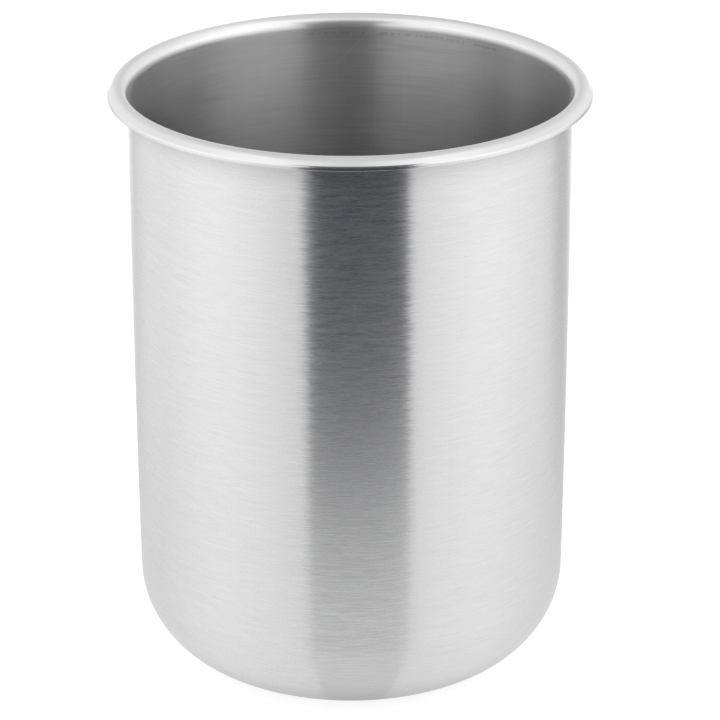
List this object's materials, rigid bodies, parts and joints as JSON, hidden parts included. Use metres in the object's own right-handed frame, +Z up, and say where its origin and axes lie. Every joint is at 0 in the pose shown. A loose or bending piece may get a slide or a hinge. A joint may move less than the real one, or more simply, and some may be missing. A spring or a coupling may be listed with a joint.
{
  "type": "soup kettle pot",
  "caption": "Deep round soup kettle pot drawn in one piece from stainless sheet, with a flat base, large floor corner and a rolled-over rim it hangs by.",
  "frame": {"origin": "centre of the flat underside, on the pot's axis", "axes": "+Z up along the pot's axis, out of the mouth; X and Y are free, because the pot is round"},
  "size_m": [0.1352, 0.1352, 0.1724],
  "materials": {
    "stainless_steel": "brushed round the outside, satin inside, polished on the rim"
  },
  "bodies": {
    "root": {"kettle_pot": "stainless_steel"}
  },
  "joints": []
}
